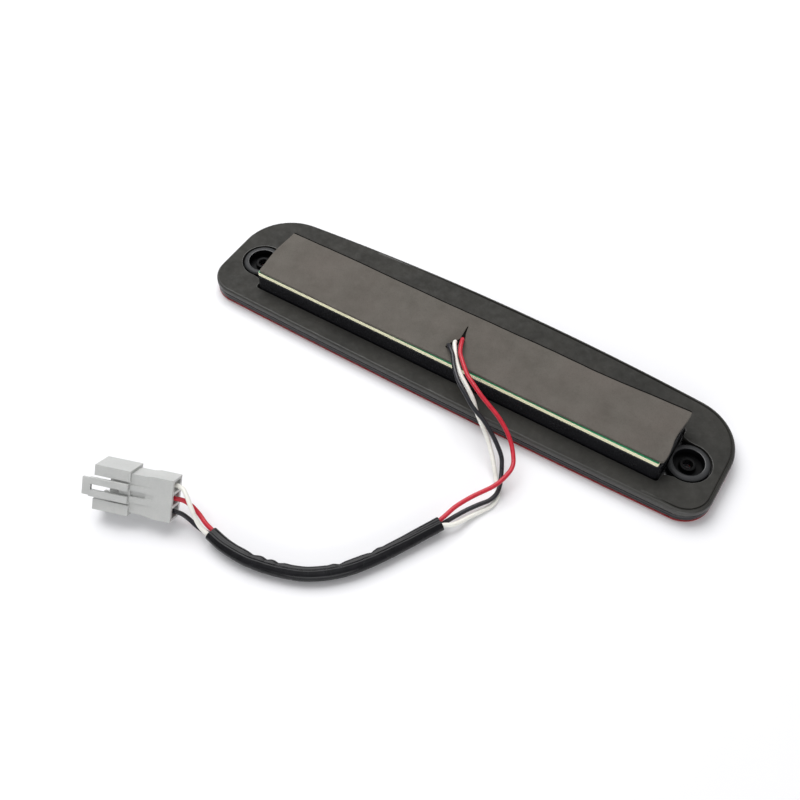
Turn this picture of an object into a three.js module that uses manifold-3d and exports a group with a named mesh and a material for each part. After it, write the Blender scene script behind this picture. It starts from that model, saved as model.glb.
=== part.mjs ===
// Third brake light of a car, millimetres, +Z up, lying with its red lens face down on z = 0.
// The origin is under the middle of the lamp body. +X runs along the lamp, -Y is the straighter long edge
// that the wires cross, and the wires lie on the same surface as the lens.
import * as THREE from 'three';
import { mergeVertices } from 'three/addons/utils/BufferGeometryUtils.js';
import Module from 'manifold-3d';

const wasm = await Module();
wasm.setup();

// ---- driving dimensions ----
const HALF_LENGTH = 105; // lamp body, along X
const NEAR_Y = -26.6; // crown of the long edge that the wires cross
const NEAR_BOW = 0.9; // how far its ends lie behind its crown
const NEAR_CORNER_R = 10.8;
const FAR_Y = 26; // crown of the far long edge, which is bowed more
const FAR_CORNER_R = 20.7;
const FAR_CORNER_Y = 1.7; // height along Y of the far corners' arc centres
const FAR_CORNER_LEAN = THREE.MathUtils.degToRad(4.6); // slope of the bowed edge where its corner starts

// How far each layer's outline lies inside the gasket's.
const SKIRT_INSET = 0.15;
const LENS_INSET = 0.2;
const TONGUE_INSET = 2.4;

const SPINE_Y = -5.2; // centre line of the box, the board and the screw bosses
const FIT_GAP = 0.2; // between stacked pieces
const LENS_LIP_TOP = 1.0;
const LENS_TOP = 2.6;
const FLANGE_BOTTOM = LENS_TOP + FIT_GAP;
const FLANGE_TOP = 3.6;
const GASKET_BOTTOM = FLANGE_TOP + FIT_GAP;
const GASKET_TOP = 6.5;
const BOX_TOP = 13.3;
const BOARD_BOTTOM = BOX_TOP + 0.05;
const BOARD_TOP = BOARD_BOTTOM + 1.6;
const PAD_BOTTOM = BOARD_TOP + 0.05;
const PAD_TOP = 16.1;

const BOX_HALF = { x: 85.2, y: 12.5 };
const BOX_WALL = 2;
const BOX_CORNER_R = 2.2;
const BOARD_HALF = { x: 84.1, y: 12.4 };
const PAD = { x: 0.3, y: SPINE_Y + 0.2, halfX: 85.2, halfY: 11.9 };

const BOSS_X = 91.8; // screw boss centres, left and right
const BOSS_OUTER_R = 7.6;
const BOSS_BORE_R = 5.5;
const BOSS_TOP = 6.9;
const COLLAR_R = 2.9;
const COLLAR_TOP = 5.6;
const SCREW_HOLE_R = 1.7;
const SCREW_POCKET_R = 5; // opening in the lens for the screw's head
const SCREW_SEAT_R = 4.7; // counterbore in the housing that the head pulls against
const SCREW_SEAT_Z = 3.0;

const LED_COUNT = 12;
const LED_PITCH = 13.5;
const LED_R = 2.5;
const WIRE_R = 0.8;

// ---- materials ----
const plastic = (color, roughness) => new THREE.MeshStandardMaterial({ color, roughness, metalness: 0 });
const redLens = plastic(0xb01018, 0.12);
const blackAbs = plastic(0x1c1d20, 0.3);
const rubber = plastic(0x484642, 0.85);
const foam = plastic(0x64605a, 0.95);
const boardGreen = plastic(0x14824f, 0.45);
const ledEpoxy = plastic(0xe8e4dc, 0.15);
const chip = plastic(0x202022, 0.5);
const sleeveBlack = plastic(0x222225, 0.3);
const wireRed = plastic(0xdc3241, 0.4);
const wireBlack = plastic(0x2a2a2e, 0.4);
const wireWhite = plastic(0xf0eee4, 0.4);
const greyNylon = plastic(0xaaacaa, 0.5);
const mirrorCoat = new THREE.MeshStandardMaterial({ color: 0xd8dadd, roughness: 0.15, metalness: 1 });
const tinnedBrass = new THREE.MeshStandardMaterial({ color: 0xb8b4a8, roughness: 0.35, metalness: 1 });

// ---- solids: three.js makes the shapes, manifold joins and cuts them ----
function solid(geometry) {
  const bare = geometry.clone();
  bare.deleteAttribute('normal');
  bare.deleteAttribute('uv');
  const welded = mergeVertices(bare, 1e-4);
  return new wasm.Manifold(new wasm.Mesh({
    numProp: 3,
    vertProperties: new Float32Array(welded.attributes.position.array),
    triVerts: new Uint32Array(welded.index.array),
  }));
}

function geometryOf(manifold) {
  const mesh = manifold.getMesh();
  const geometry = new THREE.BufferGeometry();
  geometry.setAttribute('position', new THREE.BufferAttribute(mesh.vertProperties, 3));
  geometry.setIndex(new THREE.BufferAttribute(mesh.triVerts, 1));
  geometry.computeVertexNormals();
  return geometry;
}

const join = (first, ...others) => others.reduce((sum, other) => sum.add(other), first);
const cut = (body, ...tools) => tools.reduce((rest, tool) => rest.subtract(tool), body);

function slab(shape, low, high, chamfer = 0) {
  const geometry = new THREE.ExtrudeGeometry(shape, {
    depth: high - low - 2 * chamfer,
    bevelEnabled: chamfer > 0,
    bevelThickness: chamfer,
    bevelSize: chamfer,
    bevelOffset: -chamfer,
    bevelSegments: 1,
    curveSegments: 5,
  });
  geometry.translate(0, 0, low + chamfer);
  return solid(geometry);
}

function post(x, y, radius, low, high, sides = 24) {
  const geometry = new THREE.CylinderGeometry(radius, radius, high - low, sides);
  geometry.rotateX(Math.PI / 2);
  geometry.translate(x, y, (low + high) / 2);
  return solid(geometry);
}

function block(x, y, z) { // each argument is [low, high]
  const geometry = new THREE.BoxGeometry(x[1] - x[0], y[1] - y[0], z[1] - z[0]);
  geometry.translate((x[0] + x[1]) / 2, (y[0] + y[1]) / 2, (z[0] + z[1]) / 2);
  return solid(geometry);
}

// ---- outlines seen from above ----
function lampOutline(inset) {
  const half = HALF_LENGTH - inset;
  const farR = FAR_CORNER_R - inset;
  const nearR = NEAR_CORNER_R - inset;
  const near = NEAR_Y + inset;
  const nearCentre = { x: half - nearR, y: near + NEAR_BOW + nearR };
  const farCentreX = half - farR;
  const leanAngle = Math.PI / 2 - FAR_CORNER_LEAN;
  const farStart = {
    x: farCentreX + farR * Math.cos(leanAngle),
    y: FAR_CORNER_Y + farR * Math.sin(leanAngle),
  };
  const crownControl = 2 * (FAR_Y - inset) - farStart.y;
  const shape = new THREE.Shape();
  shape.moveTo(-nearCentre.x, near + NEAR_BOW);
  shape.quadraticCurveTo(0, near - NEAR_BOW, nearCentre.x, near + NEAR_BOW);
  shape.absarc(nearCentre.x, nearCentre.y, nearR, -Math.PI / 2, 0, false);
  shape.lineTo(half, FAR_CORNER_Y);
  shape.absarc(farCentreX, FAR_CORNER_Y, farR, 0, leanAngle, false);
  shape.quadraticCurveTo(0, crownControl, -farStart.x, farStart.y);
  shape.absarc(-farCentreX, FAR_CORNER_Y, farR, Math.PI - leanAngle, Math.PI, false);
  shape.lineTo(-half, nearCentre.y);
  shape.absarc(-nearCentre.x, nearCentre.y, nearR, Math.PI, 1.5 * Math.PI, false);
  return shape;
}

function roundedRectangle(centreX, centreY, halfX, halfY, radius) {
  const right = centreX + halfX - radius;
  const left = centreX - halfX + radius;
  const top = centreY + halfY - radius;
  const bottom = centreY - halfY + radius;
  const shape = new THREE.Shape();
  shape.absarc(right, bottom, radius, -Math.PI / 2, 0, false);
  shape.absarc(right, top, radius, 0, Math.PI / 2, false);
  shape.absarc(left, top, radius, Math.PI / 2, Math.PI, false);
  shape.absarc(left, bottom, radius, Math.PI, 1.5 * Math.PI, false);
  shape.closePath();
  return shape;
}

// Keyhole-shaped ends around the screw bosses, joined to the rectangle around the box.
function gasketOpening() {
  const clearance = 0.5;
  const corner = 1.2; // length of the slanted cut at each corner
  const endX = BOX_HALF.x + clearance;
  const sideY = BOX_HALF.y + clearance;
  const keyholeR = 8.8;
  const neckHalf = 9.7;
  const shape = new THREE.Shape();
  shape.moveTo(-(endX - corner), SPINE_Y - sideY);
  for (const side of [1, -1]) {
    const turn = side > 0 ? 0 : Math.PI;
    shape.lineTo(side * (endX - corner), SPINE_Y - side * sideY);
    shape.lineTo(side * endX, SPINE_Y - side * (sideY - corner));
    shape.lineTo(side * endX, SPINE_Y - side * (neckHalf + corner));
    shape.lineTo(side * (endX + corner), SPINE_Y - side * neckHalf);
    shape.absarc(side * BOSS_X, SPINE_Y, keyholeR, turn - Math.PI / 2, turn + Math.PI / 2, false);
    shape.lineTo(side * (endX + corner), SPINE_Y + side * neckHalf);
    shape.lineTo(side * endX, SPINE_Y + side * (neckHalf + corner));
    shape.lineTo(side * endX, SPINE_Y + side * (sideY - corner));
    shape.lineTo(side * (endX - corner), SPINE_Y + side * sideY);
  }
  shape.closePath();
  return shape;
}

// ---- the lamp's layers ----
function makeLens() {
  const optic = { halfX: 82.5, halfY: 10, cornerR: 1, floor: 1.6 };
  const chamfer = 0.35;
  const lip = slab(lampOutline(LENS_INSET), 0, LENS_LIP_TOP, chamfer);
  const tongue = slab(lampOutline(TONGUE_INSET), LENS_LIP_TOP - chamfer, LENS_TOP);
  const opticRecess = slab(
    roundedRectangle(0, SPINE_Y, optic.halfX, optic.halfY, optic.cornerR), optic.floor, LENS_TOP + 1,
  );
  const screwPockets = [-BOSS_X, BOSS_X].map((x) => post(x, SPINE_Y, SCREW_POCKET_R, -1, LENS_TOP + 1));
  return cut(join(lip, tongue), opticRecess, ...screwPockets);
}

function makeHousing() {
  const skirtChamfer = 0.2;
  const seatGap = 0.3; // all round the lens's tongue
  const skirt = slab(lampOutline(SKIRT_INSET), LENS_LIP_TOP + FIT_GAP, FLANGE_TOP, skirtChamfer);
  const lensSeat = slab(lampOutline(TONGUE_INSET - seatGap), 0, FLANGE_BOTTOM);
  const box = slab(roundedRectangle(0, SPINE_Y, BOX_HALF.x, BOX_HALF.y, BOX_CORNER_R), FLANGE_BOTTOM, BOX_TOP);
  const inside = { x: BOX_HALF.x - BOX_WALL, y: BOX_HALF.y - BOX_WALL, cornerR: 0.8 };
  const window = slab(roundedRectangle(0, SPINE_Y, inside.x, inside.y, inside.cornerR), 0, BOX_TOP + 1);
  let body = join(cut(skirt, lensSeat), box);
  for (const x of [-BOSS_X, BOSS_X]) {
    const tube = cut(
      post(x, SPINE_Y, BOSS_OUTER_R, FLANGE_BOTTOM, BOSS_TOP, 30),
      post(x, SPINE_Y, BOSS_BORE_R, FLANGE_TOP, BOSS_TOP + 1, 30),
    );
    const collar = post(x, SPINE_Y, COLLAR_R, FLANGE_BOTTOM, COLLAR_TOP);
    const screwHole = post(x, SPINE_Y, SCREW_HOLE_R, 0, COLLAR_TOP + 1, 16);
    const screwSeat = post(x, SPINE_Y, SCREW_SEAT_R, 0, SCREW_SEAT_Z);
    body = cut(join(body, tube, collar), screwHole, screwSeat);
  }
  return cut(body, window);
}

function makeGasket() {
  const edgeChamfer = 0.45;
  return cut(
    slab(lampOutline(0), GASKET_BOTTOM, GASKET_TOP, edgeChamfer),
    slab(gasketOpening(), GASKET_BOTTOM - 1, GASKET_TOP + 1),
  );
}

const ledX = (index) => (index - (LED_COUNT - 1) / 2) * LED_PITCH;
const ledNumbers = Array.from({ length: LED_COUNT }, (unused, index) => index);

// One chromed moulding: a thin tray with a cone-shaped cup around every LED.
function makeReflector() {
  const tray = { halfX: 82.6, halfY: 9.9, cornerR: 1, low: 10.8, high: 11.8 };
  const cup = { outerTopR: 4.2, outerBottomR: 6.6, innerTopR: 3.2, innerBottomR: 5.9, low: 3.2 };
  const overlap = 0.2;
  const cone = (x, topR, bottomR, low, high) => {
    const geometry = new THREE.CylinderGeometry(topR, bottomR, high - low, 16);
    geometry.rotateX(Math.PI / 2);
    geometry.translate(x, SPINE_Y, (low + high) / 2);
    return solid(geometry);
  };
  const sheet = slab(roundedRectangle(0, SPINE_Y, tray.halfX, tray.halfY, tray.cornerR), tray.low, tray.high);
  const outsides = ledNumbers.map((index) => (
    cone(ledX(index), cup.outerTopR, cup.outerBottomR, cup.low, tray.low + overlap)
  ));
  const insides = ledNumbers.map((index) => (
    cone(ledX(index), cup.innerTopR, cup.innerBottomR, cup.low - overlap, tray.high + overlap)
  ));
  return cut(join(sheet, ...outsides), ...insides);
}

function makeBoard() {
  const cornerR = 0.6;
  return slab(roundedRectangle(0, SPINE_Y, BOARD_HALF.x, BOARD_HALF.y, cornerR), BOARD_BOTTOM, BOARD_TOP);
}

// The foam strip, with a slot for the wires that are soldered to the board under it.
function makeFoamPad() {
  const cornerR = 0.8;
  const slot = { x: -0.6, y: -9.2, halfX: 3.4, halfY: 5.2, cornerR: 2 };
  return cut(
    slab(roundedRectangle(PAD.x, PAD.y, PAD.halfX, PAD.halfY, cornerR), PAD_BOTTOM, PAD_TOP),
    slab(roundedRectangle(slot.x, slot.y, slot.halfX, slot.halfY, slot.cornerR), BOARD_TOP, PAD_TOP + 1),
  );
}

// A 5 mm round LED, dome down, its flange against the board.
function ledGeometry() {
  const flangeR = LED_R + 0.4;
  const flangeTop = BOARD_BOTTOM - 0.15;
  const flangeBottom = flangeTop - 1;
  const domeCentre = 7.2;
  const outline = [[0, flangeTop], [flangeR, flangeTop], [flangeR, flangeBottom], [LED_R, flangeBottom]];
  for (const degrees of [0, 30, 60]) {
    const angle = THREE.MathUtils.degToRad(degrees);
    outline.push([LED_R * Math.cos(angle), domeCentre - LED_R * Math.sin(angle)]);
  }
  outline.push([0, domeCentre - LED_R]);
  const profile = outline.reverse().map(([radius, height]) => new THREE.Vector2(radius, height));
  const geometry = new THREE.LatheGeometry(profile, 12);
  geometry.rotateX(Math.PI / 2);
  return geometry;
}

// ---- wires and sleeve, routes as points from the board to the connector ----
const SLEEVE_ROUTE = [
  [30.2, -70.4, 3.5], [27.1, -76.2, 3.1], [24.0, -82.2, 2.85], [17.7, -93.6, 2.75], [11.8, -101.8, 2.7],
  [3.2, -109.0, 2.7], [-6.0, -112.9, 2.75], [-16.3, -115.3, 3.1], [-21.8, -115.6, 3.3],
  [-27.2, -115.4, 3.6], [-32.6, -114.4, 3.9],
];
const SLEEVE_OUTER_R = 2.6;
const SLEEVE_INNER_R = 2.25;
const BUNDLE_R = 1.15; // from the sleeve's axis to each wire's

const WIRES = {
  red: {
    bundleAngle: 37,
    fromBoard: [
      [0.9, -5.6, 15.3], [1.1, -6.1, 16.6], [1.7, -7.6, 17.6], [2.6, -10.0, 18.1], [4.2, -13.3, 18.2],
      [6.4, -15.8, 18.2], [8.8, -18.2, 18.1], [11.3, -20.4, 17.8], [14.5, -22.3, 17.4], [19.7, -24.9, 16.3],
      [23.6, -26.2, 15.0], [27.5, -27.4, 13.5], [31.2, -29.0, 11.8], [34.1, -30.7, 10.2], [36.6, -32.8, 8.8],
      [38.9, -35.6, 7.6], [40.3, -38.0, 6.9], [40.8, -40.2, 6.5], [40.6, -42.7, 6.2], [39.9, -46.2, 6.0],
      [38.5, -49.7, 5.7], [34.6, -56.0, 5.1], [31.5, -62.3, 4.5],
    ],
    toConnector: [
      [-36.0, -112.8, 5.4], [-39.6, -111.5, 6.2], [-43.0, -110.9, 7.7], [-46.0, -111.2, 9.0],
      [-48.4, -112.1, 9.4], [-50.0, -112.6, 9.4],
    ],
  },
  white: {
    bundleAngle: 157,
    fromBoard: [
      [-0.9, -7.8, 15.3], [-0.7, -8.4, 16.4], [-0.1, -9.9, 17.1], [1.3, -12.1, 17.3], [3.4, -15.2, 17.3],
      [6.1, -18.3, 17.2], [9.1, -21.1, 16.8], [14.0, -24.1, 15.2], [17.4, -26.2, 13.2], [19.8, -28.2, 11.0],
      [23.7, -31.0, 9.2], [27.8, -34.0, 7.4], [31.3, -37.2, 5.4], [34.5, -40.7, 3.4], [37.2, -43.9, 1.8],
      [39.5, -46.7, 1.1], [40.9, -49.7, 1.0], [40.9, -53.1, 1.0], [39.2, -57.0, 1.1], [37.2, -61.0, 1.6],
      [35.4, -65.3, 2.5], [33.6, -68.6, 3.3],
    ],
    toConnector: [
      [-36.3, -115.1, 5.9], [-39.0, -114.0, 8.2], [-41.5, -112.5, 10.6], [-44.3, -110.7, 12.4],
      [-46.8, -109.4, 13.1], [-49.4, -109.3, 13.0], [-51.0, -109.8, 13.0],
    ],
  },
  black: {
    bundleAngle: 277,
    fromBoard: [
      [-2.2, -10.6, 15.3], [-1.9, -11.2, 16.7], [-0.9, -12.6, 18.1], [2.3, -15.7, 18.8], [4.7, -19.1, 18.9],
      [7.6, -22.5, 18.7], [10.8, -25.4, 18.2], [15.3, -28.1, 16.9], [19.2, -30.1, 15.2], [24.5, -31.6, 13.0],
      [28.7, -33.4, 10.8], [32.2, -35.3, 8.7], [35.5, -37.7, 6.4], [37.3, -40.5, 4.8], [38.8, -43.7, 3.5],
      [40.0, -46.8, 3.0], [40.4, -50.0, 2.9], [39.6, -53.3, 2.9], [37.6, -56.3, 2.9], [35.1, -60.3, 2.8],
      [33.0, -64.2, 2.6],
    ],
    toConnector: [
      [-36.4, -114.5, 2.7], [-39.5, -114.3, 3.0], [-42.5, -114.0, 4.0], [-45.2, -114.2, 5.3],
      [-47.5, -114.9, 5.8], [-49.1, -115.4, 5.8],
    ],
  },
};

const UP = new THREE.Vector3(0, 0, 1);
const smoothCurve = (points) => new THREE.CatmullRomCurve3(points, false, 'centripetal');
const vectors = (route) => route.map((point) => new THREE.Vector3(...point));

// Where one wire of the bundle runs inside the sleeve: BUNDLE_R from its axis, at a fixed angle around it.
function insideSleeve(angleDegrees) {
  const points = vectors(SLEEVE_ROUTE);
  const angle = THREE.MathUtils.degToRad(angleDegrees);
  return points.map((point, index) => {
    const before = points[Math.max(index - 1, 0)];
    const after = points[Math.min(index + 1, points.length - 1)];
    const along = after.clone().sub(before).setZ(0).normalize();
    const sideways = along.clone().cross(UP);
    return point.clone()
      .addScaledVector(sideways, BUNDLE_R * Math.cos(angle))
      .addScaledVector(UP, BUNDLE_R * Math.sin(angle));
  });
}

function tube(curve, section, steps) {
  return new THREE.ExtrudeGeometry(section, { steps, extrudePath: curve, bevelEnabled: false });
}

function ring(radius, sides, hole) {
  const section = new THREE.Shape();
  const circle = (path, r) => {
    for (let side = 0; side < sides; side += 1) {
      const angle = (2 * Math.PI * side) / sides;
      const corner = [r * Math.cos(angle), r * Math.sin(angle)];
      if (side === 0) path.moveTo(...corner);
      else path.lineTo(...corner);
    }
    path.closePath();
    return path;
  };
  circle(section, radius);
  if (hole) section.holes.push(circle(new THREE.Path(), hole));
  return section;
}

function wireGeometry({ bundleAngle, fromBoard, toConnector }) {
  const route = [...vectors(fromBoard), ...insideSleeve(bundleAngle), ...vectors(toConnector)];
  return tube(smoothCurve(route), ring(WIRE_R, 8), 56);
}

function sleeveGeometry() {
  return tube(smoothCurve(vectors(SLEEVE_ROUTE)), ring(SLEEVE_OUTER_R, 12, SLEEVE_INNER_R), 20);
}

// ---- connector, in its own axes ----
// X runs from the wire end to the mouth, Y along the pin row, and Z towards the latch.
const CONNECTOR = {
  origin: [-48.4, -112.1, 9.4], // middle of the wire end, in the lamp's axes
  heading: THREE.MathUtils.degToRad(-161.5),
  roll: THREE.MathUtils.degToRad(-50.6),
  length: 27.5,
  hoodStart: 14.8,
  rearHalf: { y: 7.45, z: 3.87 },
  hoodHalfY: 7.95,
  hoodZ: [-5.27, 4.63],
  wall: 1.2,
  partition: 1.4, // between the wire cavities and the hood
  pinPitch: 4.7,
};
const CAVITY_HALF = { y: 1.85, z: 2.5 };
const PIN_SLOT_HALF = { y: 1.45, z: 0.7 };
const LATCH_WINDOW_HALF = 4.2;
const PIN_ROWS = [-CONNECTOR.pinPitch, 0, CONNECTOR.pinPitch];
const LATCH = { halfWidth: 3.35, slotHalf: 1.05, low: 4.1, high: 5.5, root: 15.1, tip: 31.4, tabStart: 28.3 };

const around = (middle, half) => [middle - half, middle + half];

function makeConnectorHousing() {
  const { length, hoodStart, rearHalf, hoodHalfY, hoodZ, wall } = CONNECTOR;
  const partitionEnd = hoodStart + CONNECTOR.partition;
  const cavityEnd = partitionEnd - CONNECTOR.partition;
  const waistStart = 7.5;
  const waistDepth = 0.5;
  const grooveStart = 9.5;
  const grooveDepth = 0.9;
  const latchBayStart = partitionEnd + 2.5;
  const backNotchStart = length - 2;
  const beyond = length + 1;
  const latchWidth = around(0, LATCH_WINDOW_HALF);
  const rear = block([0, hoodStart + 1], [-rearHalf.y, rearHalf.y], [-rearHalf.z, rearHalf.z]);
  const hood = block([hoodStart, length], [-hoodHalfY, hoodHalfY], hoodZ);
  const waistInner = rearHalf.y - waistDepth;
  const wholeHeight = [-rearHalf.z - 1, rearHalf.z + 1];
  const openings = [
    block([partitionEnd, beyond], [-hoodHalfY + wall, hoodHalfY - wall], [hoodZ[0] + wall, hoodZ[1] - wall]),
    block([hoodStart - 1, beyond], latchWidth, [rearHalf.z, hoodZ[1] + 1]),
    block([latchBayStart, beyond], latchWidth, [0, hoodZ[1] + 1]),
    block([backNotchStart, beyond], latchWidth, [hoodZ[0] - 1, 0]),
    block([grooveStart, hoodStart], around(0, LATCH.slotHalf), [rearHalf.z - grooveDepth, rearHalf.z + 1]),
  ];
  for (const y of PIN_ROWS) {
    const cavityZ = [-CAVITY_HALF.z, CAVITY_HALF.z];
    const pinSlotZ = [-PIN_SLOT_HALF.z, PIN_SLOT_HALF.z];
    openings.push(block([-1, cavityEnd], around(y, CAVITY_HALF.y), cavityZ));
    openings.push(block([cavityEnd - 1, partitionEnd + 1], around(y, PIN_SLOT_HALF.y), pinSlotZ));
  }
  const waist = [
    block([waistStart, hoodStart + 1], [-rearHalf.y, -waistInner], wholeHeight),
    block([waistStart, hoodStart + 1], [waistInner, rearHalf.y], wholeHeight),
  ];
  return cut(join(cut(rear, ...waist), hood), ...openings);
}

function makeLatch() {
  const { halfWidth, slotHalf, low, high, root, tip, tabStart } = LATCH;
  const arm = block([root, tip], [-halfWidth, halfWidth], [low, high]);
  const slot = block([root - 1, tabStart], [-slotHalf, slotHalf], [low - 1, high + 1]);
  return cut(arm, slot);
}

// Crimp barrel, box and blade of one tinned terminal; the blade stands free inside the hood.
function makeTerminal() {
  const crimp = { start: 2, end: 6.5, radius: 1.25 };
  const box = { start: 7.2, end: 14.4, halfY: 1.45, halfZ: 1.6 };
  const blade = { end: 21.6, halfY: 1.1, halfZ: 0.4 };
  const neck = { halfY: 0.8, z: [-1, 0.2] };
  const overlap = 0.3;
  const barrel = new THREE.CylinderGeometry(crimp.radius, crimp.radius, crimp.end - crimp.start, 10);
  barrel.rotateZ(Math.PI / 2);
  barrel.translate((crimp.start + crimp.end) / 2, 0, 0);
  return join(
    solid(barrel),
    block([crimp.end - overlap, box.start + overlap], [-neck.halfY, neck.halfY], neck.z),
    block([box.start, box.end], [-box.halfY, box.halfY], [-box.halfZ, box.halfZ]),
    block([box.end - overlap, blade.end], [-blade.halfY, blade.halfY], [-blade.halfZ, blade.halfZ]),
  );
}

// ---- assembly ----
const group = new THREE.Group();

function add(name, shape, material, parent = group) {
  const geometry = shape.isBufferGeometry ? shape : geometryOf(shape);
  const mesh = new THREE.Mesh(geometry, material);
  mesh.name = name;
  parent.add(mesh);
  return mesh;
}

add('lens', makeLens(), redLens);
add('housing', makeHousing(), blackAbs);
add('gasket', makeGasket(), rubber);
add('reflector', makeReflector(), mirrorCoat);
add('circuit_board', makeBoard(), boardGreen);
add('foam_pad', makeFoamPad(), foam);

for (const index of ledNumbers) {
  const led = add(`led_${String(index + 1).padStart(2, '0')}`, ledGeometry(), ledEpoxy);
  led.position.set(ledX(index), SPINE_Y, 0);
}

// Surface-mounted parts on the LED side of the board, between the cups and the long edge.
const CHIP = { y: SPINE_Y + 8.6, halfY: 0.8, top: BOARD_BOTTOM - 0.1 };
const RESISTOR = { halfX: 1.6, height: 0.6, ledsBefore: [1, 4, 7, 10] };
const DIODE = { halfX: 1.4, height: 1.1, x: { brake_line_diode: -7, tail_line_diode: 7 } };

function chipAt(x, { halfX, height }) {
  return block(around(x, halfX), around(CHIP.y, CHIP.halfY), [CHIP.top - height, CHIP.top]);
}

for (const [index, ledsBefore] of RESISTOR.ledsBefore.entries()) {
  add(`resistor_${index + 1}`, chipAt(ledX(ledsBefore) - LED_PITCH / 2, RESISTOR), chip);
}
for (const [name, x] of Object.entries(DIODE.x)) {
  add(name, chipAt(x, DIODE), chip);
}

add('wire_red', wireGeometry(WIRES.red), wireRed);
add('wire_white', wireGeometry(WIRES.white), wireWhite);
add('wire_black', wireGeometry(WIRES.black), wireBlack);
add('wire_sleeve', sleeveGeometry(), sleeveBlack);

const connector = new THREE.Group();
connector.position.set(...CONNECTOR.origin);
connector.rotation.set(CONNECTOR.roll, 0, CONNECTOR.heading, 'ZYX');
group.add(connector);
add('connector_housing', makeConnectorHousing(), greyNylon, connector);
add('connector_latch', makeLatch(), greyNylon, connector);
for (const [index, colour] of ['white', 'red', 'black'].entries()) {
  const terminal = add(`terminal_${colour}`, makeTerminal(), tinnedBrass, connector);
  terminal.position.set(0, PIN_ROWS[index], 0);
}

export default group;
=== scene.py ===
"""A third brake light lying on its red lens, seen from above its near edge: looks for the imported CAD."""
import math

import bmesh
import bpy
from mathutils import Matrix, Vector, noise


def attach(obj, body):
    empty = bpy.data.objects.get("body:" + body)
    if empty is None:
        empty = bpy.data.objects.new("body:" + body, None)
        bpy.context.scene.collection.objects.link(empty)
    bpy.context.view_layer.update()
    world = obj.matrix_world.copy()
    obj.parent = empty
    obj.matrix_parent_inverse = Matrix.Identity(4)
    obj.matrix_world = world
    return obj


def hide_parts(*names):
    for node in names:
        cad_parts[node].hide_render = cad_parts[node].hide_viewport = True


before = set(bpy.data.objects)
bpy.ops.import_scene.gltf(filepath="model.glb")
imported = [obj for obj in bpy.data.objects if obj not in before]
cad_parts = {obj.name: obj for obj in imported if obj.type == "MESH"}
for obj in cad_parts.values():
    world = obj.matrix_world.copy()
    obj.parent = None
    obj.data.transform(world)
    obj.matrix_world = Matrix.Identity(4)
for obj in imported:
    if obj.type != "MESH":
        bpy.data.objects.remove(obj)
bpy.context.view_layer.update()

MM = 0.001
LAMP = "lamp_and_tail"
LATCH_ARM = "latch_arm"

# ---- the CAD's driving dimensions, in millimetres ----
HALF_LENGTH = 105
NEAR_Y = -26.6
NEAR_BOW = 0.9
NEAR_CORNER_R = 10.8
FAR_Y = 26
FAR_CORNER_R = 20.7
FAR_CORNER_Y = 1.7
FAR_CORNER_LEAN = math.radians(4.6)
SPINE_Y = -5.2
BOSS_X = 91.8
BORE_R = 5.5
BOX_HALF = (85.2, 12.5)
BOX_CORNER_R = 2.2
BOX_TOP = 13.3
GASKET_TOP = 6.5
BOARD_BOTTOM = 13.35
BOARD_TOP = 14.95
PAD_BOTTOM = 15.0
PAD_TOP = 16.1
PAD_NEAR_Y = -16.9
PAD_FAR_Y = 6.9
PAD_LENGTH = 170
LED_COUNT = 12
LED_PITCH = 13.5
LED_LEAD_X = 1.27
WIRE_R = 0.8
BUNDLE_R = 1.15
SLEEVE_R = 2.47
SLEEVE_LENGTH = 85
CRINKLED_SPANS = ((20, 42), (54, 74))

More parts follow.
